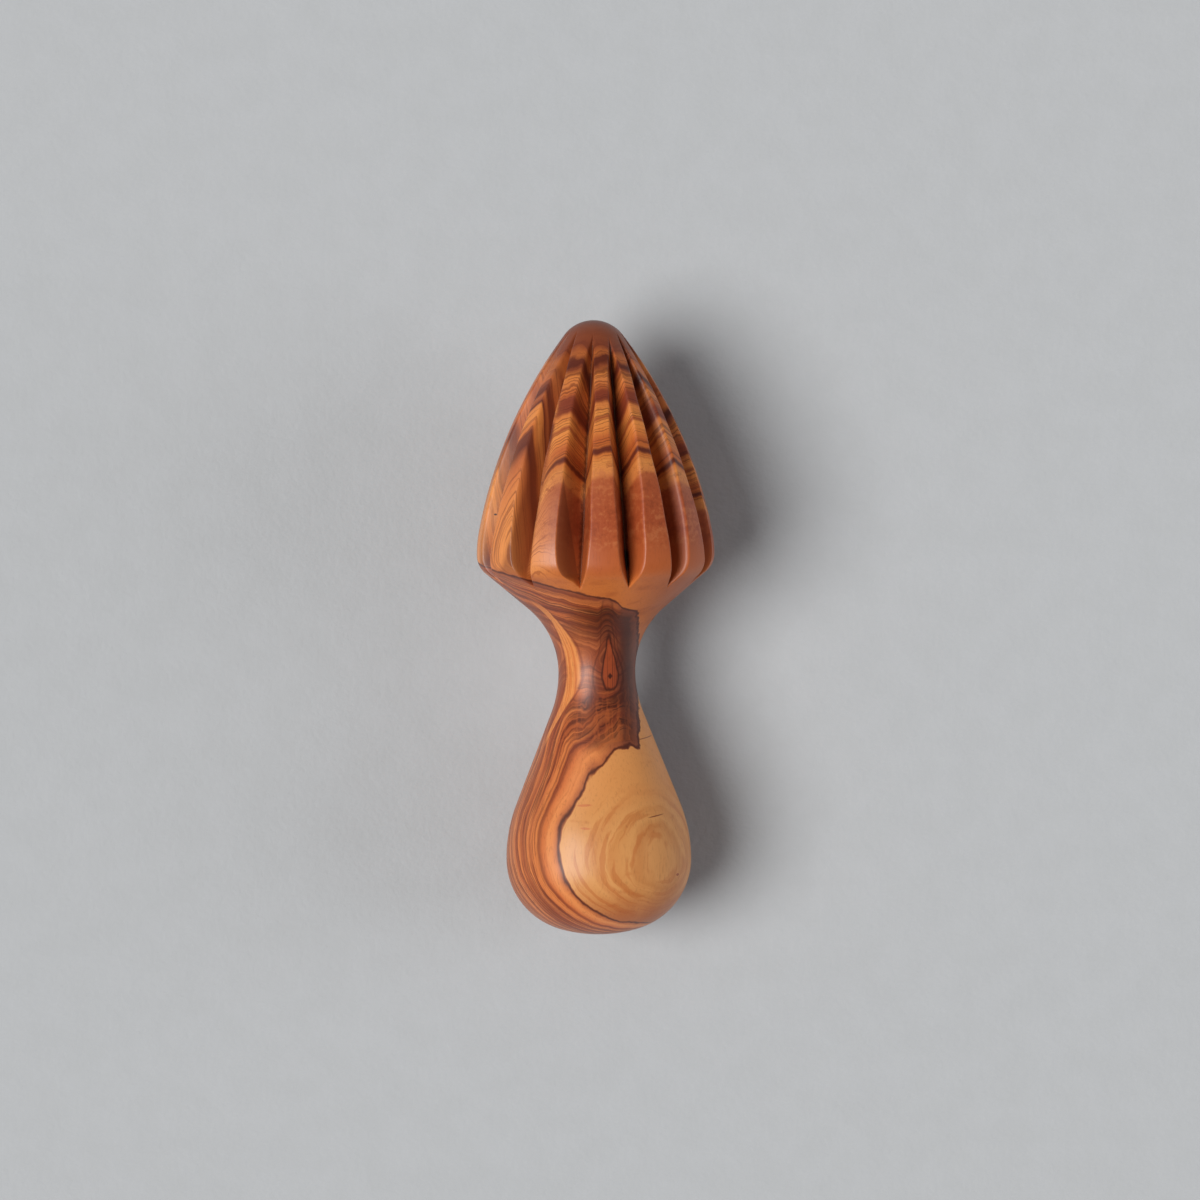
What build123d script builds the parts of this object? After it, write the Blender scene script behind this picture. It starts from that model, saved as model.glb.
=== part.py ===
"""Wooden citrus reamer, in millimetres.

One piece of olive wood, turned on a lathe and then grooved by hand: a pointed
head for pressing into a halved citrus fruit, a narrow neck and a pear-shaped
grip. It lies on its side as it would on a kitchen worktop, tip towards +Y,
resting on two ribs of the head and on the swell of the grip.
"""

from math import acos, atan2, cos, degrees, radians, sqrt, tan
import os

from build123d import *

# Head: a round nose, a long flank, a fuller brow up to the widest ring and a rounded rim
head_length = 53.1
head_diameter = 54.0
nose_radius = 8.3
flank_radius = 107.5
brow_radius = 27.8
rim_radius = 5.2

# Neck: a hollow cove, narrowest at this distance below the widest ring of the head
neck_below_rim = 26.9
neck_diameter = 17.5
upper_cove_share = 0.72

# Grip: a shoulder swells to the widest ring, then a corner rounds over to a domed end
swell_below_neck = 42.8
grip_diameter = 42.2
grip_end_length = 17.2
lower_cove_share = 0.6
shoulder_share = 0.8
corner_share = 0.958

# Juice grooves: straight V-cuts from the edge of the nose to just below the rim,
# with one wall laid back further from the middle of the cut than the other
groove_count = 13
groove_open_wall = 30.0
groove_steep_wall = 20.0
groove_start_share = 0.93
groove_exit_share = 0.27
groove_overrun = 6.0
# The spacing creeps round the head, by this much opposite the first groove
groove_creep = 5.0
# Each hand-made cut strays a little from the axis, by a share of the largest lean
groove_lean = 1.5
groove_lean_shares = (0.2, -0.3, 0.1, 0.4, 0.2, 0.0, 0.7, 1.0, 0.8, 0.5, 0.1, -0.2, 0.3)

# The long curves are drawn in this many lengths, which keeps their facets few
curve_lengths = 4
# Laying it down: rounds of tipping until head and grip both touch the surface
settling_rounds = 4

head_radius = head_diameter / 2
neck_radius = neck_diameter / 2
grip_radius = grip_diameter / 2
neck_height = grip_end_length + swell_below_neck
rim_height = neck_height + neck_below_rim
overall_length = rim_height + head_length


def crossing_tangent(near_center, near_radius, far_center, far_radius, side):
    """Ends of the straight line that crosses between two round stretches of the outline."""
    between = far_center - near_center
    heading = degrees(atan2(between.Y, between.X))
    opening = degrees(acos((near_radius + far_radius) / between.length))
    outward = Vector(1, 0).rotate(Axis.Z, heading + side * opening)
    return near_center + outward * near_radius, far_center - outward * far_radius


def enclosing_center(near_center, near_radius, far_center, far_radius, radius):
    """Centre of the arc of this radius that holds both round stretches and touches each."""
    between = far_center - near_center
    near_reach = radius - near_radius
    far_reach = radius - far_radius
    along = (between.length**2 + near_reach**2 - far_reach**2) / between.length / 2
    across = Vector(between.Y, -between.X).normalized() * sqrt(near_reach**2 - along**2)
    return near_center + between.normalized() * along + across


def rounded(start, heading, end, last_heading, radius):
    """A round stretch between two straight headings, as the cubic that follows its arc."""
    handle = radius * 4 / 3 * tan(radians(heading.get_angle(last_heading) / 4))
    return Bezier(start, start + heading * handle, end - last_heading * handle, end)


def in_lengths(curve):
    """A long curve of the outline, cut into equal lengths."""
    cuts = [number / curve_lengths for number in range(curve_lengths + 1)]
    return [curve.trim(near, far) for near, far in zip(cuts, cuts[1:])]


def turned_outline():
    """Half outline of the turned blank, and where a groove's bottom meets it at both ends.

    X is the radius and Y the height above the grip's end.
    """
    heel = Vector(0, 0)
    tip = Vector(0, overall_length)
    rim = Vector(head_radius, rim_height)
    neck = Vector(neck_radius, neck_height)
    swell = Vector(grip_radius, grip_end_length)

    nose_center = tip - Vector(0, nose_radius)
    brow_center = rim - Vector(brow_radius, 0)
    flank_center = enclosing_center(
        nose_center, nose_radius, brow_center, brow_radius, flank_radius
    )
    nose_end = flank_center + (nose_center - flank_center).normalized() * flank_radius
    flank_end = flank_center + (brow_center - flank_center).normalized() * flank_radius

    rim_center = rim - Vector(rim_radius, 0)
    upper_radius = upper_cove_share * neck_below_rim
    upper_center = neck + Vector(upper_radius, 0)
    lower_radius = lower_cove_share * swell_below_neck
    lower_center = neck + Vector(lower_radius, 0)
    shoulder_radius = shoulder_share * swell_below_neck
    shoulder_center = swell - Vector(shoulder_radius, 0)
    under_rim, cove_top = crossing_tangent(rim_center, rim_radius, upper_center, upper_radius, 1)
    shoulder_top, cove_foot = crossing_tangent(
        shoulder_center, shoulder_radius, lower_center, lower_radius, -1
    )

    # The domed end face runs into the corner without a kink
    corner_radius = corner_share * grip_end_length
    corner_center = swell - Vector(corner_radius, 0)
    dome_radius = (corner_center.length**2 - corner_radius**2) / (swell.Y - corner_radius) / 2
    dome_center = Vector(0, dome_radius)
    corner_foot = dome_center + (corner_center - dome_center).normalized() * dome_radius

    down = Vector(0, -1)
    inward = (cove_top - under_rim).normalized()
    outward = (shoulder_top - cove_foot).normalized()
    nose = TangentArc(tip, nose_end, tangent=(1, 0))
    flank = TangentArc(nose_end, flank_end, tangent=nose % 1)
    brow = TangentArc(flank_end, rim, tangent=flank % 1)
    rim_edge = rounded(rim, down, under_rim, inward, rim_radius)
    underside = Line(under_rim, cove_top)
    upper_cove = rounded(cove_top, inward, neck, down, upper_radius)
    lower_cove = rounded(neck, down, cove_foot, outward, lower_radius)
    flare = Line(cove_foot, shoulder_top)
    shoulder = TangentArc(shoulder_top, swell, tangent=outward)
    corner = TangentArc(swell, corner_foot, tangent=down)
    dome = TangentArc(corner_foot, heel, tangent=corner % 1)
    edges = [nose, *in_lengths(flank), brow, rim_edge, underside, *in_lengths(upper_cove)]
    edges += [lower_cove, flare, shoulder, *in_lengths(corner), dome, Line(heel, tip)]
    return Wire(edges), nose @ groove_start_share, underside @ groove_exit_share


def groove_cutter(groove_start, groove_exit, lean):
    """A V-shaped bar under the head, whose sharp edge is the bottom of one juice groove."""
    start = Vector(0, groove_start.Y, -groove_start.X)
    end = Vector(0, groove_exit.Y, -groove_exit.X)
    along = (start - end).normalized()
    open_side = (head_radius * tan(radians(groove_open_wall)), head_radius)
    steep_side = (-head_radius * tan(radians(groove_steep_wall)), head_radius)
    section = make_face(Polyline((0, 0), open_side, steep_side, close=True))
    seat = Plane(origin=end - along * groove_overrun, x_dir=(1, 0, 0), z_dir=along)
    bar = extrude(seat * section, (start - end).length + 2 * groove_overrun, dir=along)
    return bar.rotate(Axis(end, (0, 0, 1)), lean)


def grooved_reamer():
    """The turned blank with its juice grooves cut, its axis along +Y and a groove facing down."""
    outline, groove_start, groove_exit = turned_outline()
    blank = revolve(make_face(outline), Axis.Y)
    cutters = []
    for number in range(groove_count):
        turn = number * 360 / groove_count
        creep = groove_creep * (1 - cos(radians(turn))) / 2
        lean = groove_lean * groove_lean_shares[number % len(groove_lean_shares)]
        cutter = groove_cutter(groove_start, groove_exit, lean)
        cutters.append(cutter.rotate(Axis.Y, turn + creep))
    return blank - cutters


def lowest(solid, tilt):
    """The lowest point of a solid that is tipped about X by a number of degrees."""
    return solid.rotate(Axis.X, tilt).bounding_box().min.Z


def laid_down(reamer):
    """Tip the reamer until head and grip touch the surface, then centre it on the origin."""
    neck_plane = Plane.XZ.offset(-neck_height)
    head = split(reamer, bisect_by=neck_plane, keep=Keep.BOTTOM)
    grip = split(reamer, bisect_by=neck_plane, keep=Keep.TOP)
    tilt = 0.0
    for _ in range(settling_rounds):
        gap = lowest(head, tilt) - lowest(grip, tilt)
        tilt -= degrees(gap / (rim_height - grip_end_length))
    print(f"The tip is raised by {tilt:.2f} degrees, with {gap:.4f} left under the head")
    laid = reamer.rotate(Axis.X, tilt)
    box = laid.bounding_box()
    return laid.translate((-box.center().X, -box.center().Y, -box.min.Z))


reamer = laid_down(grooved_reamer())
os.makedirs("parts", exist_ok=True)
export_step(reamer, "parts/reamer.step")
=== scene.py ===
from math import acos, atan2, ceil, cos, degrees, pi, radians, sin, sqrt, tan

import bpy
import numpy as np
from mathutils import Matrix, Vector


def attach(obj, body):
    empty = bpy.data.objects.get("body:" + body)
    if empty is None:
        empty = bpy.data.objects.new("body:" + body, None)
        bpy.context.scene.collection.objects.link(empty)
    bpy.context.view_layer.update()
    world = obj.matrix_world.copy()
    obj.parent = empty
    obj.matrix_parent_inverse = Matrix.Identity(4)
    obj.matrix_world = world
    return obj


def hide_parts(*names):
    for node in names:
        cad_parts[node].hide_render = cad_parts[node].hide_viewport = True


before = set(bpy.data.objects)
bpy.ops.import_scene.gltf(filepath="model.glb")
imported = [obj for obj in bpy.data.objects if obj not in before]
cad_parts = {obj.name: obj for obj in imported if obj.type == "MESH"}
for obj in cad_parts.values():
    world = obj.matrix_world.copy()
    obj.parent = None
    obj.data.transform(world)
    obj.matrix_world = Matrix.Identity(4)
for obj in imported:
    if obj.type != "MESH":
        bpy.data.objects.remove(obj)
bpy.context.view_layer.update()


# The turned blank: one billet of olive wood, turned between centres into a pointed head, a
# hollowed neck and a pear-shaped grip. Its outline runs from the tip to the heel in arcs and
# straights without a kink. Heights are in millimetres above the heel.
tip_height = 140.0
rim_height = 86.9
neck_height = 60.0
swell_height = 17.2
head_radius = 27.0
neck_radius = 8.75
grip_radius = 21.1
nose_bend = 8.3
flank_bend = 107.5
brow_bend = 27.8
rim_bend = 5.2
upper_cove_bend = 19.37
lower_cove_bend = 25.68
shoulder_bend = 34.24
corner_bend = 16.48


def crossing(near_centre, near_bend, far_centre, far_bend):
    """How far the outline turns to the straight between two rounds, and the straight's length."""
    between = far_centre - near_centre
    reach = near_bend + far_bend
    turn = abs(atan2(between.y, between.x)) - acos(reach / between.length)
    return degrees(turn), sqrt(between.length**2 - reach**2)


def head_turns():
    """How far the outline turns over the nose, the flank that touches nose and brow, and the brow."""
    nose_centre = Vector((0, tip_height - nose_bend))
    brow_centre = Vector((head_radius - brow_bend, rim_height))
    between = brow_centre - nose_centre
    near, far = flank_bend - nose_bend, flank_bend - brow_bend
    along = (between.length**2 + near**2 - far**2) / between.length / 2
    aside = Vector((-between.y, between.x)).normalized() * sqrt(near**2 - along**2)
    nose_reach = aside - between.normalized() * along
    brow_reach = nose_reach + between
    nose_turn = degrees(atan2(nose_reach.x, nose_reach.y))
    flank_end = degrees(atan2(brow_reach.x, brow_reach.y))
    return nose_turn, flank_end - nose_turn, 90 - flank_end


def outline_stretches():
    """Each stretch as (radius of its bend, degrees turned, spacing of the rings).

    A hollow has its radius below 0, and a straight is (None, length, spacing).
    """
    rim_centre = Vector((head_radius - rim_bend, rim_height))
    upper_centre = Vector((neck_radius + upper_cove_bend, neck_height))
    lower_centre = Vector((neck_radius + lower_cove_bend, neck_height))
    shoulder_centre = Vector((grip_radius - shoulder_bend, swell_height))
    corner_centre = Vector((grip_radius - corner_bend, swell_height))
    nose_turn, flank_turn, brow_turn = head_turns()
    rim_turn, underside = crossing(rim_centre, rim_bend, upper_centre, upper_cove_bend)
    flare_turn, flare = crossing(shoulder_centre, shoulder_bend, lower_centre, lower_cove_bend)
    dome_bend = (corner_centre.length_squared - corner_bend**2) / (swell_height - corner_bend) / 2
    corner_turn = degrees(atan2(dome_bend - swell_height, corner_centre.x))
    return (
        (nose_bend, nose_turn, 0.45),
        (flank_bend, flank_turn, 0.605),
        (brow_bend, brow_turn, 0.5),
        (rim_bend, rim_turn, 0.35),
        (None, underside, 0.4),
        (-upper_cove_bend, rim_turn, 0.8),
        (-lower_cove_bend, flare_turn, 1.0),
        (None, flare, 1.5),
        (shoulder_bend, flare_turn, 1.4),
        (corner_bend, corner_turn, 1.0),
        (dome_bend, 90 - corner_turn, 1.0),
    )


def walk_outline():
    """Radius, height and distance along the outline of every ring, from the tip to the heel."""
    place, heading, run = Vector((0.0, tip_height)), 0.0, 0.0
    rings = []
    for bend, amount, spacing in outline_stretches():
        length = amount if bend is None else abs(bend) * radians(amount)
        steps = ceil(length / spacing)
        start, first_heading = place, heading
        for step in range(1, steps + 1):
            share = step / steps
            if bend is None:
                place = start + Vector((cos(heading), sin(heading))) * length * share
            else:
                centre = start + Vector((sin(first_heading), -cos(first_heading))) * bend
                heading = first_heading - share * length / bend
                place = centre - Vector((sin(heading), -cos(heading))) * bend
            rings.append((place.x, place.y, run + share * length))
        run += length
    return np.array(rings[:-1]).T, run


(ring_radius, ring_height, ring_run), outline_length = walk_outline()


# The juice grooves: thirteen straight V-cuts made by hand, from the edge of the nose to just
# below the rim. One wall lies further back than the other, each cut strays a little from the
# axis, and the sharp edges were eased with abrasive paper.
groove_count = 13
groove_start = Vector((0, 137.13, -6.28))
groove_exit = Vector((0, 80.73, -22.58))
open_wall_angle = 30.0
steep_wall_angle = 20.0
groove_creep = 5.0
groove_leans = (0.3, -0.45, 0.15, 0.6, 0.3, 0.0, 1.05, 1.5, 1.2, 0.75, 0.15, -0.3, 0.45)
eased_edge = 0.36
eased_bottom = 0.3


def cut_groove(number):
    """One V-cut, as a point on its bottom line, the line's direction and its two walls."""
    turn = number * 360 / groove_count
    creep = groove_creep * (1 - cos(radians(turn))) / 2
    along = (groove_start - groove_exit).normalized()
    sideways = Vector((1, 0, 0))
    outward = along.cross(sideways)
    roll = Matrix.Rotation(radians(turn + creep), 3, "Y")
    aim = roll @ Matrix.Rotation(radians(groove_leans[number]), 3, "Z")
    walls = []
    for side, angle in ((1, open_wall_angle), (-1, steep_wall_angle)):
        slope = outward + sideways * side * tan(radians(angle))
        walls.append(aim @ (along.cross(slope) * side).normalized())
    return roll @ groove_exit, aim @ along, walls


grooves = [cut_groove(number) for number in range(groove_count)]

# The rib left of the front one was pared once more beside its open groove, in one long flat
pared_rib = 5
pared_flat = Vector((0.644, 0.096, 0.759))
pared_distance = 22.23
pared_end = 84.0
pared_runout = 0.35

# The blade wavered in a long swing with a shorter one on top, at another phase on every wall
waver = 0.12
long_swing = 5.3
short_swing = 2.1
short_share = 0.6
short_phase = 2.7
wall_phase = 7

# A wall that is seen almost edge on, or from behind, is met nowhere on the wood, and a wall
# that does meet it spreads over less than one radian
least_facing = 0.02
met_nowhere = 99.0
widest_spread = 1.0


def paring_gap(height):
    """Distance from the axis to the pared flat, which runs out towards the underside."""
    runout = pared_runout * np.maximum(pared_end - height, 0)
    return pared_distance - pared_flat.y * height + runout


def wall_gap(point, wall, height, phase):
    """Distance from the axis to a groove's wall at each height, with the waver of a hand cut."""
    wander = np.sin(height / long_swing + phase)
    wander = wander + short_share * np.sin(height / short_swing + short_phase * phase)
    return point.dot(wall) - wall.y * height + waver * wander


def wall_radius(number, side, height, angle):
    """How far out one wall of one groove is met, looking from the axis at this height and angle."""
    point, _, walls = grooves[number]
    wall = walls[side]
    facing = -wall.x * np.sin(angle) - wall.z * np.cos(angle)
    gap = wall_gap(point, wall, height, number + wall_phase * side)
    return np.where(facing > least_facing, gap / np.maximum(facing, least_facing), met_nowhere)


def eased_least(first, second, ease):
    """The lesser of two radii, rounded where they cross."""
    near = np.maximum(ease - np.abs(first - second), 0) / ease
    return np.minimum(first, second) - near**2 * ease / 4


def grooved_radius(turned, height, angle, number):
    """Radius of the wood between the bottoms of this groove and the next one round."""
    for each in (number, (number + 1) % groove_count):
        open_wall = wall_radius(each, 0, height, angle)
        steep_wall = wall_radius(each, 1, height, angle)
        cut = -eased_least(-open_wall, -steep_wall, eased_bottom)
        turned = eased_least(turned, cut, eased_edge)
    if number == pared_rib:
        facing = -pared_flat.x * np.sin(angle) - pared_flat.z * np.cos(angle)
        turned = eased_least(turned, paring_gap(height) / facing, eased_bottom)
    return turned


def groove_place(number):
    """Angle of a groove's bottom and how far its open and steep walls spread, at every ring."""
    point, along, walls = grooves[number]
    height = np.clip(ring_height, groove_exit.y, groove_start.y)
    reach = (height - point.y) / along.y
    across, up = point.x + along.x * reach, point.z + along.z * reach
    bottom = np.arctan2(-across, -up)
    spreads = []
    for side, wall in enumerate(walls):
        flat = np.hypot(wall.x, wall.z)
        gap = wall_gap(point, wall, ring_height, number + wall_phase * side)
        swing = np.arccos(np.clip(gap / ring_radius / flat, -1, 1))
        middle = np.arctan2(-wall.x, -wall.z)
        edges = [(middle + swing - bottom + pi) % (2 * pi) - pi,
                 (middle - swing - bottom + pi) % (2 * pi) - pi]
        wanted = -1 if side == 0 else 1
        ahead = [np.where(edge * wanted > 0, edge * wanted, met_nowhere) for edge in edges]
        spreads.append(np.minimum(*ahead))
    cuts = np.hypot(across, up) < ring_radius
    return bottom, [np.where(cuts & (spread < widest_spread), spread, 0) for spread in spreads]


# Columns of the mesh run down the bottoms, walls, edges and backs of the ribs, and spread out
# evenly beyond the grooves. Runs are in millimetres, and shares are of a rib, its wall or back.
nearest_run = 0.12
widest_run = 9
growth_beyond = 0.35
growth_inside = 0.1
inside_reach = 9
widest_share = 0.26
rounding_run = 0.5
wall_rounding_share = 0.35
back_rounding_share = 0.2
nick_run = 0.2
nick_share = 0.2
least_back_share = 0.3
wall_steps = 3
back_steps = 6


def stepped(near, far, count):
    """Even steps from one column to another, without the first."""
    return [near + (far - near) * step / count for step in range(1, count + 1)]


def end_of_pared_back(first, last, end):
    """Where the back of the pared rib stops, at the edge of its flat."""
    reach = paring_gap(ring_height) / ring_radius / np.hypot(pared_flat.x, pared_flat.z)
    middle = np.arctan2(-pared_flat.x, -pared_flat.z) % (2 * pi)
    edge = middle - np.arccos(np.clip(reach, -1, 1))
    return np.maximum(np.minimum(last, edge), first + least_back_share * (end - first))


def spread_columns():
    """Angle of every column of the mesh at every ring, with columns on each groove's edges."""
    sector = 2 * pi / groove_count
    beyond = np.maximum(ring_height - groove_start.y, groove_exit.y - ring_height)
    inside = np.minimum(groove_start.y - ring_height, ring_height - groove_exit.y)
    least = np.where(beyond > 0,
                     np.minimum(nearest_run + growth_beyond * beyond, widest_run),
                     nearest_run + growth_inside * inside.clip(0, inside_reach))
    least = np.minimum(least / ring_radius, widest_share * sector)
    rounding, nick = rounding_run / ring_radius, nick_run / ring_radius
    places = [groove_place(number) for number in range(groove_count)]
    columns, owners = [], []
    for number in range(groove_count):
        start, (_, steep_spread) = places[number]
        end, (open_spread, _) = places[(number + 1) % groove_count]
        end = start + (end - start) % (2 * pi)
        first = start + np.maximum(steep_spread, least)
        last = end - np.maximum(open_spread, least)
        if number == pared_rib:
            last = end_of_pared_back(first, last, end)
        ease_in = np.minimum(rounding, wall_rounding_share * (first - start))
        ease_out = np.minimum(rounding, wall_rounding_share * (end - last))
        ease_back = np.minimum(rounding, back_rounding_share * (last - first))
        nick_in = np.minimum(nick, nick_share * (first - start))
        nick_out = np.minimum(nick, nick_share * (end - last))
        marks = [start, start + nick_in]
        marks += stepped(start + nick_in, first - ease_in, wall_steps)
        marks += [first - ease_in / 2, first, first + ease_back / 2, first + ease_back]
        marks += stepped(first + ease_back, last - ease_back, back_steps)
        marks += [last - ease_back / 2, last, last + ease_out / 2, last + ease_out]
        marks += stepped(last + ease_out, end - nick_out, wall_steps)
        columns += marks
        owners += [number] * len(marks)
    return np.array(columns).T, owners


angles, owners = spread_columns()
heights = np.repeat(ring_height[:, None], angles.shape[1], axis=1)
radii = np.repeat(ring_radius[:, None], angles.shape[1], axis=1)
for column, number in enumerate(owners):
    radii[:, column] = grooved_radius(ring_radius, ring_height, angles[:, column], number)

# The bottoms of the cuts are darkened wherever these are deep enough
darkening_depth = 0.4
darkening_rise = 0.8
cut_depths = ring_radius[:, None] - radii
columns_per_groove = len(owners) // groove_count
bottom_columns = (0, 1, columns_per_groove - 1)
beside_bottom = np.array([column % columns_per_groove in bottom_columns
                          for column in range(len(owners))])
crumbs = beside_bottom[None, :] * np.clip((cut_depths - darkening_depth) / darkening_rise, 0, 1)


# The reamer lies on its side: two ribs of the head and the swell of the grip touch the worktop,
# which lifts the tip by 4.7 degrees. Points are given from here on across, along and above its axis.
heel = Vector((0, -0.0697208, 0.0196632))
across_axis = Vector((1, 0, 0))
along_axis = Vector((0, 0.996582, 0.082614))
above_axis = Vector((0, -0.082614, 0.996582))
millimetre = 0.001

across = -radii * np.sin(angles)
above = -radii * np.cos(angles)
points = np.array(heel) + millimetre * (
    across[..., None] * np.array(across_axis)
    + heights[..., None] * np.array(along_axis)
    + above[..., None] * np.array(above_axis)
)
ring_count, column_count = angles.shape
tip = heel + along_axis * tip_height * millimetre
vertices = [*points.reshape(-1, 3).tolist(), tuple(tip), tuple(heel)]
tip_number, heel_number = len(vertices) - 2, len(vertices) - 1

# Each face is also laid out flat, in rows from the tip to the heel
faces, unrolled = [], []
for ring in range(-1, ring_count):
    near = ring_run[ring] / outline_length if ring >= 0 else 0.0
    far = ring_run[ring + 1] / outline_length if ring + 1 < ring_count else 1.0
    for column in range(column_count):
        beside = (column + 1) % column_count
        left, right = column / column_count, (column + 1) / column_count
        here, there = ring * column_count, (ring + 1) * column_count
        if ring < 0:
            faces.append((tip_number, column, beside))
            unrolled += [((left + right) / 2, near), (left, far), (right, far)]
        elif ring + 1 == ring_count:
            faces.append((heel_number, here + beside, here + column))
            unrolled += [((left + right) / 2, far), (right, near), (left, near)]
        else:
            faces.append((here + column, there + column, there + beside, here + beside))
            unrolled += [(left, near), (left, far), (right, far), (right, near)]

mesh = bpy.data.meshes.new("grooved_reamer")
mesh.from_pydata(vertices, [], faces)
mesh.shade_smooth()
unrolling = mesh.uv_layers.new(name="OFBake")
unrolling.data.foreach_set("uv", np.array(unrolled, np.float32).ravel())

# The material reads how deep each point was cut, up to a full cut, and where the bottoms are darkened
full_cut = 4.0
for name, amounts in (("cut_depth", np.clip(cut_depths / full_cut, 0, 1)), ("crumbs", crumbs)):
    attribute = mesh.attributes.new(name, "FLOAT", "POINT")
    attribute.data.foreach_set("value", np.append(amounts.ravel(), (0, 0)).astype(np.float32))
reamer = bpy.data.objects.new("grooved_reamer", mesh)
bpy.context.scene.collection.objects.link(reamer)
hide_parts("reamer")
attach(reamer, "root")


# The figure of the wood: growth rings of oiled olive, cut through by the turning and the
# grooves. Pale sapwood lies over the grip's upper side, and heartwood round the neck, bent by a
# small knot. The head's rings fan out, and its left ribs show them almost lengthwise.
wood = bpy.data.materials.new("olive_wood")
wood.use_nodes = True


class Grain:
    """A number, colour or direction at each point of the wood, held as one socket of its nodes."""

    def __init__(self, socket):
        self.socket = socket

    def node(self, kind, settings, inputs, output=0):
        """Any further node: its settings, then the values or links of its sockets."""
        tree = self.socket.id_data
        made = tree.nodes.new(kind)
        for name, value in settings.items():
            if name == "stops":
                stops = made.color_ramp.elements
                for place, _ in value[1:-1]:
                    stops.new(place)
                for stop, (place, colour) in zip(stops, value):
                    stop.position = place
                    stop.color = (*colour, 1)
            else:
                setattr(made, name, value)
        for key, value in inputs.items():
            if isinstance(value, Grain):
                tree.links.new(made.inputs[key], value.socket)
            else:
                made.inputs[key].default_value = value
        return Grain(made.outputs[output])

    def maths(self, operation, *others):
        """A Math node on this number, and on others after it."""
        return self.node("ShaderNodeMath", {"operation": operation}, dict(enumerate((self, *others))))

    def __add__(self, other):
        return self.maths("ADD", other)

    __radd__ = __add__

    def __sub__(self, other):
        return self.maths("SUBTRACT", other)

    def __rsub__(self, other):
        return self.maths("MULTIPLY_ADD", -1, other)

    def __mul__(self, other):
        return self.maths("MULTIPLY", other)

    __rmul__ = __mul__

    def __truediv__(self, other):
        return self.maths("DIVIDE", other)

    def __abs__(self):
        return self.maths("ABSOLUTE")

    def dot(self, direction):
        """How far this direction or place reaches along another."""
        settings = {"operation": "DOT_PRODUCT"}
        return self.node("ShaderNodeVectorMath", settings, {0: self, 1: direction}, "Value")

    def rise(self, low, high):
        """0 up to low, 1 from high on, and a smooth rise between them."""
        settings = {"interpolation_type": "SMOOTHSTEP"}
        return self.node("ShaderNodeMapRange", settings,
                         {"Value": self, "From Min": low, "From Max": high})

    def line(self, middle, width):
        """1 at this value, falling to 0 at half the width on both sides."""
        return 1 - abs(self - middle).rise(0, width / 2)

    def mixed(self, other, share):
        """This number passing into another one."""
        return self + (other - self) * share


def srgb(red, green, blue):
    """A colour as seen, from 0 to 255, as the linear one that a shader takes."""
    seen = [part / 255 for part in (red, green, blue)]
    return tuple(part / 12.92 if part < 0.04045 else ((part + 0.055) / 1.055) ** 2.4 for part in seen)


def painted(under, over, share):
    """One colour laid over another, where share is above 0."""
    def plain(colour):
        return colour if isinstance(colour, Grain) else (*colour, 1)
    return share.node("ShaderNodeMix", {"data_type": "RGBA"},
                      {0: share, 6: plain(under), 7: plain(over)}, 2)


# Where a point of the wood lies: millimetres across, along and above the reamer's axis
metre = 1000
surface = Grain(wood.node_tree.nodes.new("ShaderNodeTexCoord").outputs["Object"])
side = surface.dot(across_axis * metre)
length = surface.dot(along_axis * metre) - heel.dot(along_axis) * metre
height = surface.dot(above_axis * metre) - heel.dot(above_axis) * metre
place = side.node("ShaderNodeCombineXYZ", {}, {0: side, 1: length, 2: height})


def mottle(size, stretch, detail, shift, roughness=0.5):
    """Uneven patches from -0.5 to 0.5, of this size in millimetres, drawn out by the stretch."""
    drawn = place.node("ShaderNodeVectorMath", {"operation": "MULTIPLY_ADD"},
                       {0: place, 1: tuple(1 / part for part in stretch), 2: (shift, shift, shift)})
    inputs = {"Vector": drawn, "Scale": 1 / size, "Detail": detail, "Roughness": roughness}
    return drawn.node("ShaderNodeTexNoise", {"noise_dimensions": "3D"}, inputs) - 0.5


def layers(depth, spacing, detail, shift, loose):
    """Uneven layers from 0 to 1 that follow rings or bands, this far apart, and waver if loose."""
    stacked = place.node("ShaderNodeVectorMath", {"operation": "SCALE"}, {0: place, "Scale": loose})
    inputs = {"Vector": stacked, "W": depth / spacing + shift, "Scale": 1.0, "Detail": detail}
    return stacked.node("ShaderNodeTexNoise", {"noise_dimensions": "4D"}, inputs)


def ramp(value, colours):
    """Colours at places along a value, blending from each to the next."""
    low, high = colours[0][0], colours[-1][0]
    share = (value - low) / (high - low)
    return share.node("ShaderNodeValToRGB", {
        "stops": [((at - low) / (high - low), srgb(*colour)) for at, colour in colours],
    }, {0: share})


# What bends every ring and edge a little, from broad swells to fine waver
slow = mottle(12, (1, 1.5, 1), 1.0, 3.1)
middling = mottle(4.0, (1, 2.2, 1), 2.0, 17.0)
fine = mottle(1.3, (1, 2.5, 1), 2.0, 40.0)
crinkle = mottle(1.1, (1, 1.3, 1), 3.0, 55.0)

# How deep a ring lies in the wood: the grip's rings are sheets under its upper right, bowed
# steeply towards the heel and gently into the neck, and others lie across the axis under the head
sheet_distance = 21
sheet_facing = (0.644, 0, 0.765)
bow_place = 20.3
ring_shift = length - bow_place + side * 0.243
ring_bend = 0.031 - 0.024 * ring_shift.rise(-4, 4)
left_hold = 1 - 0.55 * (1 - side.rise(-8, -2)) * length.rise(36, 46)
bow = ring_bend * ring_shift * ring_shift * left_hold
grip_depth = sheet_distance - place.dot(sheet_facing) + bow
under_depth = 17.2 + (79.5 - side * 0.27 - length) * 0.95 + (15 - height) * 0.25
depth = grip_depth.mixed(under_depth, length.rise(56, 70))

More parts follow.
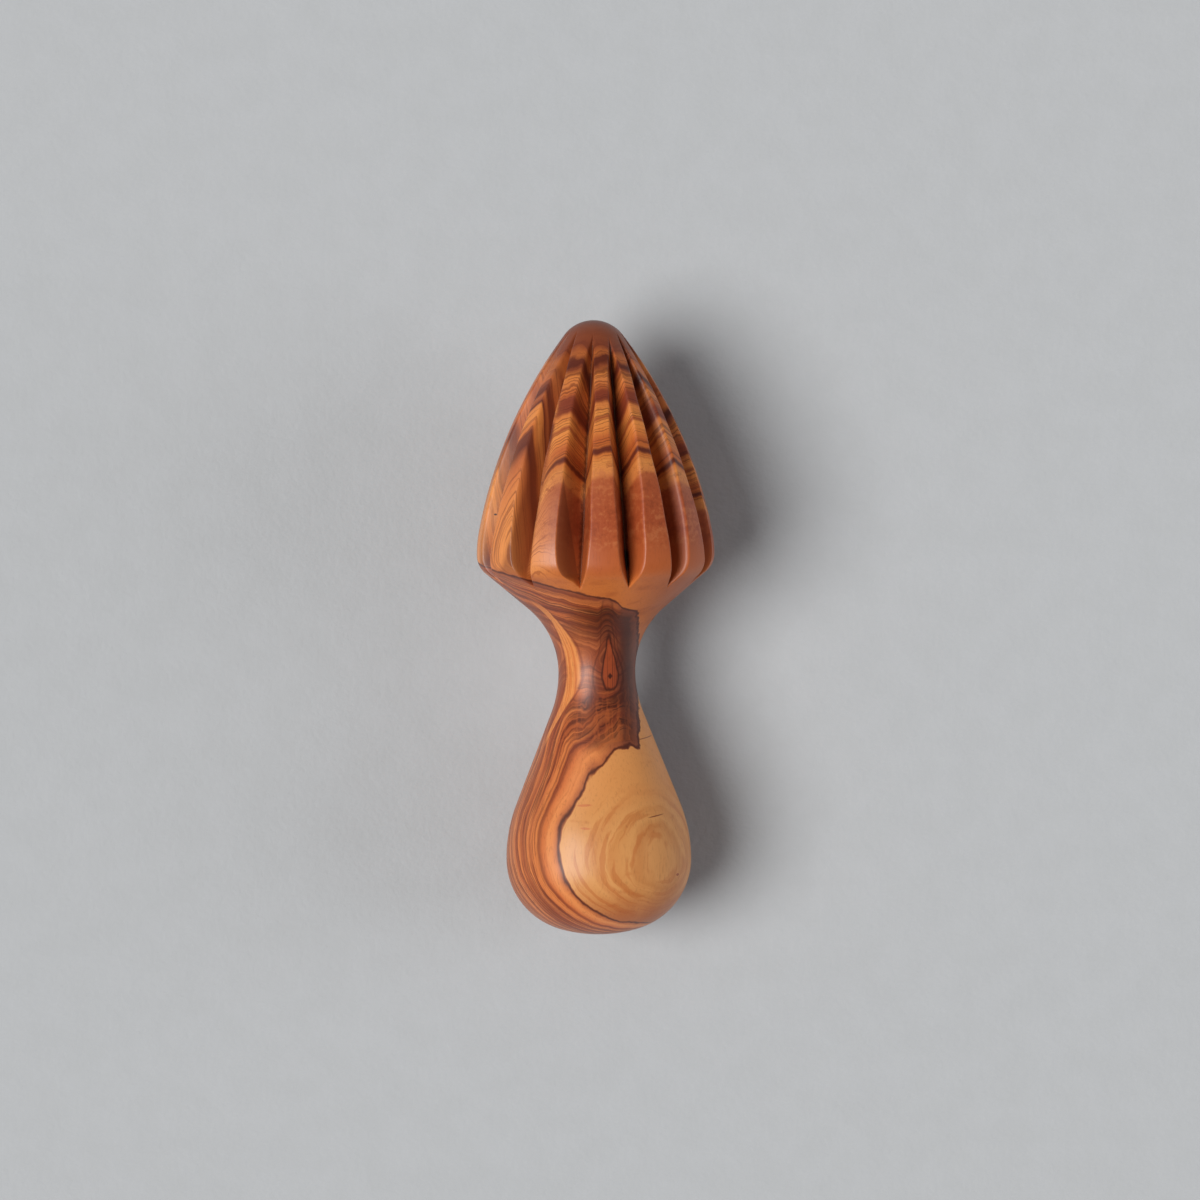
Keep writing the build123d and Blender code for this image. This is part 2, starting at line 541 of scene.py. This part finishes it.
# The knot in the neck, a drop with its point towards the head
knot_place = 59.8
knot_aside = 3.0
knot_along = length - knot_place
knot_reach = 3.1 + 6.2 * knot_along.rise(-1, 1)
knot_width = 1.8 - 0.9 * knot_along.rise(0, 8)
knot_side = (side - knot_aside + knot_along * 0.03) / knot_width
knot_end = knot_along / knot_reach
knot = (knot_side * knot_side + knot_end * knot_end).maths("SQRT") + fine * 0.35
on_top = height.rise(1, 4)

# No ring runs true: they fold up between the knot and the grip, and swell round the knot
folds = mottle(2.4, (1.5, 1, 1), 1.0, 57.0)
folded = length.line(52, 24) * side.rise(-7, -1)
depth = depth + slow * 2.4 + middling * 1.3 + fine * 0.3
depth = depth + folded * (folds * 1.8 + middling * 2.6)
depth = depth + on_top * 3.0 * (1 - knot.rise(0.8, 3.2))

# Heartwood: broad rings at their depths, then the close dark lines between them
heart_colours = (
    (11.5, (208, 132, 80)), (13.2, (210, 134, 82)), (15.2, (216, 144, 92)), (16.7, (200, 120, 72)),
    (17.4, (150, 80, 48)), (17.9, (132, 64, 38)), (18.3, (196, 120, 70)), (19.4, (206, 130, 78)),
    (20.4, (186, 108, 64)), (20.9, (140, 68, 40)), (21.4, (190, 112, 64)), (22.4, (206, 134, 84)),
    (23.1, (176, 98, 58)), (23.6, (136, 66, 38)), (24.2, (184, 104, 58)), (25.4, (198, 118, 64)),
    (26.1, (140, 70, 42)), (27.2, (184, 108, 68)), (28.4, (206, 136, 90)), (29.1, (156, 86, 52)),
    (30.3, (204, 132, 86)), (31.5, (164, 94, 58)), (33, (202, 130, 84)), (35, (156, 86, 54)),
    (38, (186, 112, 68)), (41, (146, 78, 48)), (45, (176, 102, 62)),
)
heart = ramp(depth, heart_colours)
close_lines = layers(depth, 0.36, 2.0, 0.0, 0.06).rise(0.51, 0.57)
broad_lines = layers(depth, 1.1, 1.0, 9.0, 0.04).rise(0.5, 0.56)
streaky = depth.rise(17.0, 20)
heart = painted(heart, srgb(214, 146, 92), (1 - side.rise(-16, -8)) * (1 - length.rise(40, 54)) * 0.3)
heart = painted(heart, srgb(136, 66, 36), broad_lines * streaky * 0.42)
heart = painted(heart, srgb(104, 46, 24), close_lines * streaky * 0.64)
under_dark = length.rise(66, 70) * depth.rise(19.5, 22.5) * (side + middling * 5).rise(-9, 2)
heart = painted(heart, srgb(86, 40, 26), under_dark * 0.75)
under_lines = layers(depth, 0.7, 3.0, 21.0, 0.1).rise(0.46, 0.56)
heart = painted(heart, srgb(66, 28, 18), under_dark * under_lines * 0.7)

# The neck: an orange band on its left, violet brown beside the knot with painted shade over it, and
# dark wood on its right
bevel = place.dot((0.507, 0, 0.862)) + middling * 0.8
band_middle = 3.2
band_drift = 5.67 * (1 - length.rise(40, 61))
band_width = 0.7 + 1.1 * length.rise(46, 60) * (1 - length.rise(66, 74) * 0.7)
across_band = (bevel - band_middle + band_drift) / band_width
in_neck = length.rise(42, 47) * (1 - length.rise(74, 79))
violet_lines = layers(depth, 0.8, 3.0, 4.0, 0.08).rise(0.45, 0.62)
neck_wood = ramp(side + middling * 2.5, (
    (-8.5, (150, 84, 54)), (-4.5, (196, 122, 78)), (-1.5, (172, 100, 64)), (0.5, (138, 70, 44)),
    (4.5, (112, 58, 42)), (7, (84, 48, 38)), (9.5, (78, 48, 38)),
))
neck_share = length.line(61, 30) * 0.75 + side.rise(3, 7) * 0.6
neck_share = in_neck * neck_share * side.rise(-10, -6)
heart = painted(heart, neck_wood, neck_share.maths("MINIMUM", 0.88))
heart = painted(heart, srgb(84, 38, 26), violet_lines * neck_share * 0.6)
below_knot = (length + middling * 3).rise(42, 45.5) * (1 - length.rise(53, 58))
below_knot = below_knot * (side + middling * 3).rise(-7, 0)
heart = painted(heart, srgb(124, 64, 42), below_knot * 0.62)
dark_folds = layers(depth, 0.7, 1.0, 61.0, 0.06).rise(0.5, 0.57)
dark_folds = dark_folds * length.line(51, 20) * side.rise(-8, -3)
heart = painted(heart, srgb(64, 28, 20), dark_folds * 0.75)
light_folds = layers(depth, 0.9, 1.0, 161.0, 0.06).rise(0.52, 0.6)
light_folds = light_folds * length.line(51, 16) * side.rise(-6, -2)
heart = painted(heart, srgb(184, 106, 62), light_folds * 0.45)
dark_block = (side + crinkle * 2).rise(5.2, 6.2) * (length + crinkle * 2).rise(43, 43.6)
dark_block = dark_block * (1 - length.rise(75, 78))
heart = painted(heart, srgb(90, 50, 40), dark_block * 0.6)
left_of_band = in_neck * on_top * (1 - across_band.rise(-2.4, -1.2))
heart = painted(heart, srgb(140, 76, 48), left_of_band * 0.6)
band = on_top * in_neck * (1 - abs(across_band).rise(0.75, 1.15))
band_grain = layers(bevel, 0.5, 2.0, 15.0, 0.05).rise(0.45, 0.62)
band_wood = painted(srgb(218, 150, 92), srgb(200, 124, 68), band_grain)
heart = painted(heart, band_wood, band * 0.88)
band_edge = on_top * in_neck * abs(across_band).line(1.25, 0.5)
heart = painted(heart, srgb(128, 62, 38), band_edge * 0.6)
# Painted shade darkens the neck just left of the knot
shade_beside_knot = on_top * length.line(55, 12) * side.line(-1.0, 4.0)
heart = painted(heart, srgb(112, 52, 30), shade_beside_knot * 0.9)

# The knot itself: brown wood with fine lines and a dark eye, and three rings round it
in_knot = on_top * (1 - knot.rise(0.9, 1.05))
heart = painted(heart, srgb(158, 80, 46), in_knot * 0.9)
knot_lines = layers(side, 0.36, 2.0, 3.0, 0.03).rise(0.5, 0.62)
heart = painted(heart, srgb(96, 44, 28), in_knot * knot_lines * 0.6)
eye = abs(side - knot_aside) / 0.62 + abs(knot_along) / 0.8
heart = painted(heart, srgb(66, 28, 18), on_top * (1 - eye.rise(0.6, 1.2)) * 0.9)
heart = painted(heart, srgb(74, 32, 20), on_top * knot.line(1.0, 0.42) * 0.9)
heart = painted(heart, srgb(80, 36, 22), on_top * knot.line(1.6, 0.4) * side.rise(2.5, 4) * 0.75)
heart = painted(heart, srgb(90, 42, 26), on_top * knot.line(2.2, 0.5) * 0.5)

# Sapwood: pale, with faint rings low on the grip, a few stains, and browner at the heel
sap_depth = depth + middling * 0.8
sap_colours = (
    (-3, (200, 142, 92)), (0.2, (206, 152, 102)), (1.2, (196, 138, 88)), (1.9, (208, 154, 102)),
    (3.4, (200, 142, 90)), (4.1, (210, 156, 104)), (6.0, (202, 144, 94)), (6.8, (210, 156, 104)),
    (9.0, (206, 150, 98)), (12, (214, 160, 110)),
)
sapwood = ramp(sap_depth, sap_colours)
ringed = 1 - (length + middling * 3).rise(26, 36)
sapwood = painted(srgb(210, 150, 96), sapwood, 0.15 + ringed * 0.85)
sap_stains = mottle(2.4, (2.4, 1, 1), 2.0, 71.0).rise(0.12, 0.3)
sapwood = painted(sapwood, srgb(180, 108, 60), sap_stains * 0.35)
sap_lines = layers(depth, 0.9, 3.0, 12.0, 0.08).rise(0.52, 0.62)
sapwood = painted(sapwood, srgb(180, 106, 56), sap_lines * (0.08 + ringed * 0.36))
sapwood = painted(sapwood, srgb(168, 94, 50), (1 - (length + middling * 4).rise(4, 15)) * 0.8)


def stroke(side_place, length_place, half_side, half_length, slope=0.0):
    """A small mark on the upper side, 1 in its middle."""
    across_mark = (side - side_place) / half_side
    along_mark = (length - length_place - (side - side_place) * slope) / half_length
    return (1 - (across_mark * across_mark + along_mark * along_mark).rise(0.3, 1.2)) * on_top


# Pores and scratches in the sapwood: colour, strength, and the place, half sizes and slope
grip_marks = (
    ((120, 62, 36), 0.8, (13.0, 28.6, 1.9, 0.16, 0.12)),
    ((196, 116, 84), 0.6, (-3.1, 31.6, 1.9, 0.3, 0.05)),
    ((196, 116, 84), 0.6, (-2.9, 26.6, 1.3, 0.3, -0.05)),
    ((126, 68, 40), 0.7, (8.0, 45.2, 8.5, 0.14, 0.09)),
    ((150, 60, 34), 0.8, (17.8, 14.8, 0.35, 0.35)),
)
for colour, share, mark in grip_marks:
    sapwood = painted(sapwood, srgb(*colour), stroke(*mark) * share)

# On the head the rings fan out from a line under its left edge: this is their angle in degrees
radian = 57.3
fan_foot = 84.1
far_left = 1 - side.rise(-19, -8.5)
fan_height = place.dot((-0.474, 1, -1.264)) - fan_foot + far_left * 16
fan_reach = (place.dot((0.251, 0, 0.911)) + 3.9) * (1 - far_left * 0.75)
fan = fan_height.maths("ARCTAN2", fan_reach) * radian
fan = fan + side.maths("MAXIMUM", -17.0).maths("MINIMUM", 0.0)
fan = fan + (slow * 7 + middling * 5 + fine * 2.4) * (1 - far_left * 0.8)
fan = fan + mottle(2.4, (1, 12, 1), 1.0, 150.0) * far_left * 7
head_colours = (
    (-60, (186, 112, 62)), (-48, (180, 102, 60)), (-40, (166, 86, 52)), (-28, (170, 92, 58)),
    (-19, (174, 98, 62)), (-16, (206, 136, 82)), (-9, (212, 144, 84)), (-3.5, (196, 120, 64)),
    (-1.4, (112, 54, 36)), (1.4, (102, 46, 32)), (3.8, (188, 110, 58)), (10, (184, 104, 58)),
    (18, (210, 134, 74)), (26, (214, 142, 80)), (29, (160, 88, 52)), (32, (212, 142, 80)),
    (40, (202, 128, 74)), (43, (136, 68, 44)), (50, (142, 72, 50)), (53, (188, 110, 62)),
    (58, (204, 130, 78)), (61.5, (208, 134, 72)), (64, (148, 82, 50)), (65.5, (90, 40, 26)),
    (67, (102, 48, 32)), (69, (200, 124, 68)), (72.5, (172, 98, 58)), (77, (210, 138, 82)),
    (82, (202, 128, 76)), (90, (192, 118, 70)), (110, (208, 134, 82)),
)
head = ramp(fan, head_colours)
head_close = layers(fan, 1.3, 2.0, 30.0, 0.05).rise(0.52, 0.62)
left_close = layers(fan, 0.9, 2.0, 80.0, 0.03).rise(0.5, 0.6)
head_broad = layers(fan, 4.5, 1.0, 50.0, 0.04).rise(0.52, 0.6)
left_side = 1 - side.rise(-15, -6)
bands = fan.rise(-14, -4)
head = painted(head, srgb(230, 162, 104), left_side * 0.6)
head = painted(head, srgb(128, 60, 34), head_broad * bands * (0.3 + left_side * 0.2))
head = painted(head, srgb(92, 38, 24), head_close * bands * 0.5)
head = painted(head, srgb(128, 60, 34), left_close * left_side * 0.55)

# Left of the front ribs the rings lie almost along the axis, and draw steep chevrons on each crest
left_rings = 184.5 + place.dot((1.531, -0.173, -2.245))
left_rings = left_rings + slow * 1.6 + middling * 1.4 + fine * 0.5
left_colours = (
    (92, (206, 134, 80)), (98, (218, 148, 90)), (102, (212, 140, 84)), (106, (202, 126, 76)),
    (109, (180, 106, 64)), (111.5, (112, 56, 38)), (114.3, (126, 66, 42)),
    (115.4, (200, 122, 68)), (118, (218, 146, 84)), (120.4, (210, 136, 78)), (121.2, (104, 50, 34)),
    (121.9, (150, 82, 50)), (123, (180, 106, 64)), (124.4, (116, 60, 42)), (126.4, (132, 72, 50)),
    (128, (188, 112, 68)), (131, (206, 130, 82)), (133.5, (170, 98, 62)), (136, (206, 132, 82)),
    (140, (180, 106, 66)), (145, (206, 130, 80)),
)
left_ribs = ramp(left_rings, left_colours)
left_lines = layers(left_rings, 0.8, 2.0, 180.0, 0.04).rise(0.51, 0.6)
left_ribs = painted(left_ribs, srgb(110, 52, 32), left_lines * 0.45)
from_crest = side - length * 0.303 + 48.45
# Right of each crest the walls face away from the window: darker wood with painted shade
wood_and_shade_right_of_crest = from_crest.rise(0.5, 2.5) * (0.25 + (1 - length.rise(104, 120)) * 0.3)
left_ribs = painted(left_ribs, srgb(112, 54, 30), wood_and_shade_right_of_crest)
left_of_crest = (1 - from_crest.rise(-4.5, -1.5)) * (1 - length.rise(102, 116))
left_ribs = painted(left_ribs, srgb(226, 158, 98), left_of_crest * 0.55)
beyond_front = side - length * 0.198 + 32.05
left_zone = (1 - beyond_front.rise(-0.4, 0.4)) * (1 - length.rise(126, 131)) * height.rise(-8, -2)
head = painted(head, left_ribs, left_zone)

# The brow is cloudy at its left and plainer under the rim, painted shade darkens it beside the front
# rib, and the nose is dark from use
rim_patch = (1 - bands) * length.rise(88.5, 91) * side.rise(-13, -11)
cloud = mottle(0.9, (1, 1, 1), 3.0, 66.0, 0.65) + mottle(5.0, (1, 0.5, 1), 2.0, 101.0)
head = painted(head, srgb(190, 120, 80), rim_patch * cloud.rise(-0.02, 0.25) * 0.6)
head = painted(head, srgb(144, 74, 44), rim_patch * (0 - cloud).rise(0.02, 0.25) * 0.5)
under_rim = 1 - length.rise(81.5, 85.5)
head = painted(head, srgb(200, 124, 68), under_rim * 0.9)
head = painted(head, srgb(156, 80, 40), under_rim * abs(side).rise(6, 20) * 0.6)
rim_stains = mottle(3.0, (1.5, 1, 1), 2.0, 77.0).rise(0.0, 0.25)
head = painted(head, srgb(168, 92, 50), under_rim * rim_stains * 0.5)
# Painted shade beside the front rib
head = painted(head, srgb(146, 78, 46), side.line(-7.5, 9) * length.line(98, 30) * 0.45)
nose = (length + middling * 3 + abs(side) * 0.3).rise(133, 136)
head = painted(head, srgb(126, 66, 46), nose * 0.85)

# Edges of the heartwood: under the head, down the right of the neck, and round the grip. It
# lies where all three are above 0, and a dark line runs along them.
ragged = middling + fine * 0.35
under_edge = 79 - side * 0.25 - 1.6 * side.rise(4.2, 6.2) - length
right_edge = 9.5 - side + (1 - length.rise(32, 42)) * 20 + length.rise(76, 80) * 20
right_edge = right_edge + (1 - height.rise(-7, 0)) * 20
round_edge = depth - 12.2 + length.rise(45, 48) * 20 * height.rise(-7, 5) - side.rise(9, 20) * 6
heart_edge = under_edge.maths("MINIMUM", right_edge + crinkle * 1.5)
heart_edge = heart_edge.maths("MINIMUM", round_edge) + ragged
is_heart = heart_edge.rise(-0.1, 0.1)
is_head = length.rise(62, 64)
pale = painted(sapwood, head, is_head)
figure = painted(pale, heart, is_heart)
line_width = 1.5 - length.rise(26, 36) * 0.5 - length.rise(60, 70) * 0.2
edge_line = 1 - abs(heart_edge - line_width / 3).rise(0, line_width / 2)
tan_streaks = layers(heart_edge, 0.8, 3.0, 140.0, 0.05).rise(0.52, 0.62) * heart_edge.rise(0.8, 1.6)
figure = painted(figure, srgb(184, 104, 58), tan_streaks * (1 - length.rise(50, 60)) * is_heart * 0.35)
edge_halo = heart_edge.rise(-0.2, 0.3) * (1 - heart_edge.rise(0.6, 2.4))
figure = painted(figure, srgb(148, 86, 64), edge_halo * 0.55)
figure = painted(figure, srgb(86, 42, 32), edge_line * 0.9)

# Over all of it: open fibres, painted shade on the walls of the cuts, the pared flat and the darkened
# bottoms of the cuts
fibre = mottle(0.42, (1, 6, 1), 3.0, 120.0, 0.65)
figure = painted(figure, srgb(106, 54, 32), fibre.rise(0.0, 0.25) * (0.18 + is_heart * 0.12))
cut = surface.node("ShaderNodeAttribute", {"attribute_name": "cut_depth"}, {}, "Fac")
# Painted shade darkens the walls of the cuts, more where they are cut deeper
figure = painted(figure, srgb(124, 60, 30), cut.rise(0.0, 0.5) * 0.22)
pared_to = 0.135 * (107.5 - length) - 7.2 - side
pared = cut.rise(0.01, 0.04) * pared_to.rise(-0.15, 0.15) * side.rise(-9.6, -9.2) * on_top
figure = painted(figure, srgb(112, 58, 36), pared * length.rise(82, 84) * 0.55)
bottom_darkness = surface.node("ShaderNodeAttribute", {"attribute_name": "crumbs"}, {}, "Fac")
# Darker specks along the bottoms of the cuts
speckled_darkness = (bottom_darkness + mottle(0.8, (1, 1, 1), 3.0, 33.0) * 1.4).rise(0.35, 0.95) * bottom_darkness.rise(0, 0.3)
figure = painted(figure, srgb(84, 42, 24), speckled_darkness * 0.6)
# One spot in the bottom of the cut right of the front rib is almost black
blackened_spot = stroke(6.0, 87.0, 3.0, 2.6)
figure = painted(figure, srgb(26, 12, 8), blackened_spot * bottom_darkness.rise(0.1, 0.7) * 0.9)
pit = stroke(-22.5, 96.6, 0.4, 0.25)
figure = painted(figure, srgb(52, 24, 16), pit * 0.9)

# The finish: oil deepens and warms the wood, and handling leaves its sheen uneven
oil_depth = 1.2
oil_warmth = (1.24, 1.23, 1.12)
roughness = 0.4
rubbed_roughness = 0.2
relief_strength = 0.25
relief_height = 0.00012
figure = figure.node("ShaderNodeGamma", {}, {"Color": figure, "Gamma": oil_depth})
figure = figure.node("ShaderNodeVectorMath", {"operation": "MULTIPLY"}, {0: figure, 1: oil_warmth})
wear = mottle(7.0, (1, 1, 1), 3.0, 90.0)
relief = fibre * 0.6 + fine * 0.4
bump = relief.node("ShaderNodeBump", {}, {
    "Strength": relief_strength, "Distance": relief_height, "Height": relief,
})


def feed_shader(material, inputs):
    """Link what varies over a surface to its material's shader."""
    tree = material.node_tree
    for name, value in inputs.items():
        tree.links.new(tree.nodes["Principled BSDF"].inputs[name], value.socket)


uneven_sheen = roughness + wear * rubbed_roughness
feed_shader(wood, {"Base Color": figure, "Roughness": uneven_sheen, "Normal": bump})
mesh.materials.append(wood)


# The worktop: a wide surface skimmed with pale grey plaster, with faint trowel marks. It only carries
# the reamer and isn't part of it.
plaster = bpy.data.materials.new("pale_plaster")
plaster.use_nodes = True
plaster.node_tree.nodes["Principled BSDF"].inputs["Roughness"].default_value = 0.9
spot = Grain(plaster.node_tree.nodes.new("ShaderNodeTexCoord").outputs["Object"])
smear = spot.node("ShaderNodeTexNoise", {},
                  {"Vector": spot, "Scale": 120.0, "Detail": 5.0, "Roughness": 0.6})
grit = spot.node("ShaderNodeTexNoise", {}, {"Vector": spot, "Scale": 700.0, "Detail": 3.0})
tint = painted((0.485, 0.494, 0.503), (0.499, 0.508, 0.519), smear.rise(0.3, 0.7))
dents = smear * 0.6 + grit * 0.4
uneven = dents.node("ShaderNodeBump", {}, {"Strength": 0.35, "Distance": 0.0008, "Height": dents})
feed_shader(plaster, {"Base Color": tint, "Normal": uneven})
half_width = 4
corners = [(-half_width, -half_width, 0), (half_width, -half_width, 0),
           (half_width, half_width, 0), (-half_width, half_width, 0)]
floor_mesh = bpy.data.meshes.new("worktop")
floor_mesh.from_pydata(corners, [], [(0, 1, 2, 3)])
floor_mesh.materials.append(plaster)
worktop = bpy.data.objects.new("worktop", floor_mesh)
bpy.context.scene.collection.objects.link(worktop)


# Light: one large soft window high on the left, a weak pale wall low on the right, and an even
# room. Each patch is a sun lamp as wide as it looks from the reamer, so its distance is no matter.
patch_width = 35


def soft_light(name, elevation, azimuth, strength, colour, glossy):
    """Light from one broad patch of the room; azimuth is counted from the right, anticlockwise."""
    data = bpy.data.lights.new(name, "SUN")
    data.angle = radians(patch_width)
    data.energy = strength
    data.color = colour
    light = bpy.data.objects.new(name, data)
    direction = Vector((cos(radians(elevation)) * cos(radians(azimuth)),
                        cos(radians(elevation)) * sin(radians(azimuth)), sin(radians(elevation))))
    light.location = direction
    light.visible_glossy = glossy
    light.rotation_mode = "QUATERNION"
    light.rotation_quaternion = direction.to_track_quat("Z", "Y")
    bpy.context.scene.collection.objects.link(light)


soft_light("window", elevation=56, azimuth=190, strength=2.9, colour=(0.993, 0.993, 0.985), glossy=True)
soft_light("wall", elevation=22, azimuth=0, strength=0.86, colour=(0.92, 0.96, 1.0), glossy=False)
room_light = 0.28
room = bpy.data.worlds.new("room")
room.use_nodes = True
background = room.node_tree.nodes["Background"]
background.inputs["Color"].default_value = (0.5, 0.505, 0.52, 1)
seen = Grain(room.node_tree.nodes.new("ShaderNodeLightPath").outputs["Is Camera Ray"])
room.node_tree.links.new(background.inputs["Strength"], (room_light + seen * (1 - room_light)).socket)
bpy.context.scene.world = room


# The camera looks straight down on the reamer from just over a metre, and is turned a little
# against its axis, as in the photograph.
view_middle = (0.00089, 0.00642)
camera_height = 1.1
camera_turn = -0.6
camera_data = bpy.data.cameras.new("overhead")
camera_data.lens = 141.6
camera_data.sensor_width = 36
camera = bpy.data.objects.new("overhead", camera_data)
camera.location = (*view_middle, camera_height)
camera.rotation_euler = (0, 0, radians(camera_turn))
bpy.context.scene.collection.objects.link(camera)
bpy.context.scene.camera = camera
bpy.context.scene.view_settings.view_transform = "Standard"
